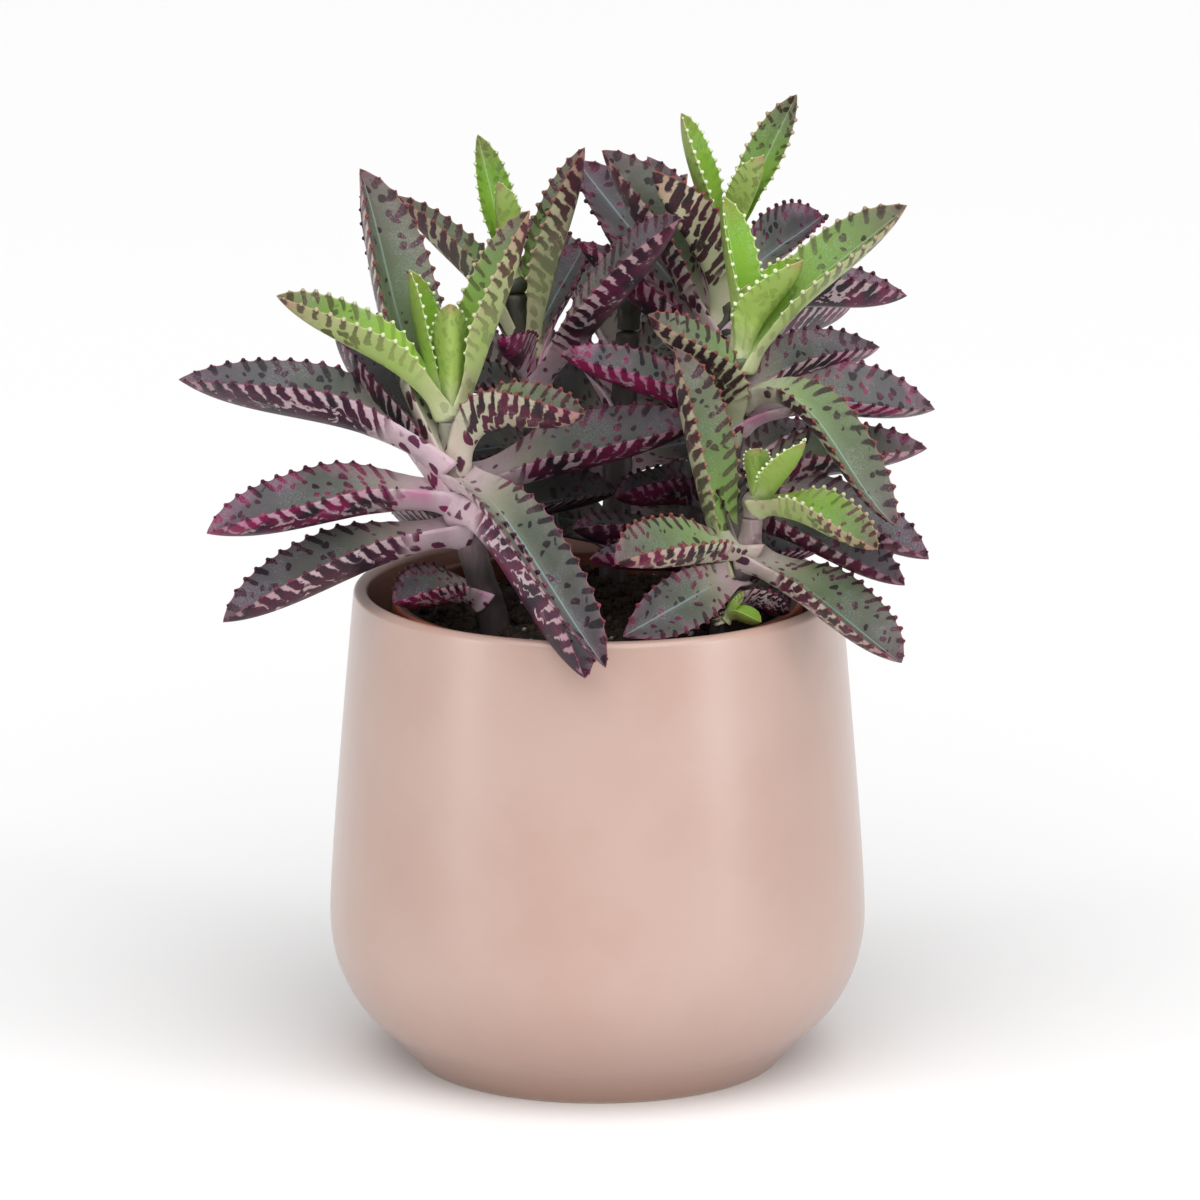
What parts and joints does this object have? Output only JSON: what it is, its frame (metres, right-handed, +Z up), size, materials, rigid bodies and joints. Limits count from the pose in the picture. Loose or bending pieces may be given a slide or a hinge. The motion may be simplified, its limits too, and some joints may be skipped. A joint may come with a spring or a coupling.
{
  "type": "potted kalanchoe",
  "caption": "Succulent with toothed, boat-shaped, striped leaves on upright stems, rooted in a grow pot inside a plain rounded ceramic cover pot.",
  "frame": {"origin": "centre of the cover pot's flat foot, on the surface it stands on", "axes": "+Z up through the pot's centre, +Y away from the viewer of the picture, +X to the viewer's right"},
  "size_m": [0.181, 0.169, 0.234],
  "materials": {
    "cover_pot_clay": "satin",
    "grow_pot_plastic": "matte",
    "peat": "matte",
    "old_leaf": "satin",
    "young_leaf": "satin"
  },
  "bodies": {
    "root": {"cover_pot": "cover_pot_clay", "grow_pot": "grow_pot_plastic", "soil": "peat", "left_stem_leafy": "old_leaf", "left_stem_crown": "young_leaf", "back_left_stem_leafy": "old_leaf", "back_left_stem_crown": "young_leaf", "back_right_stem_leafy": "old_leaf", "back_right_stem_crown": "young_leaf", "right_stem_leafy": "old_leaf", "right_stem_crown": "young_leaf", "front_right_stem_leafy": "old_leaf", "front_right_stem_crown": "young_leaf", "back_stem_leafy": "old_leaf", "back_stem_crown": "young_leaf", "seedling": "young_leaf"}
  },
  "joints": []
}
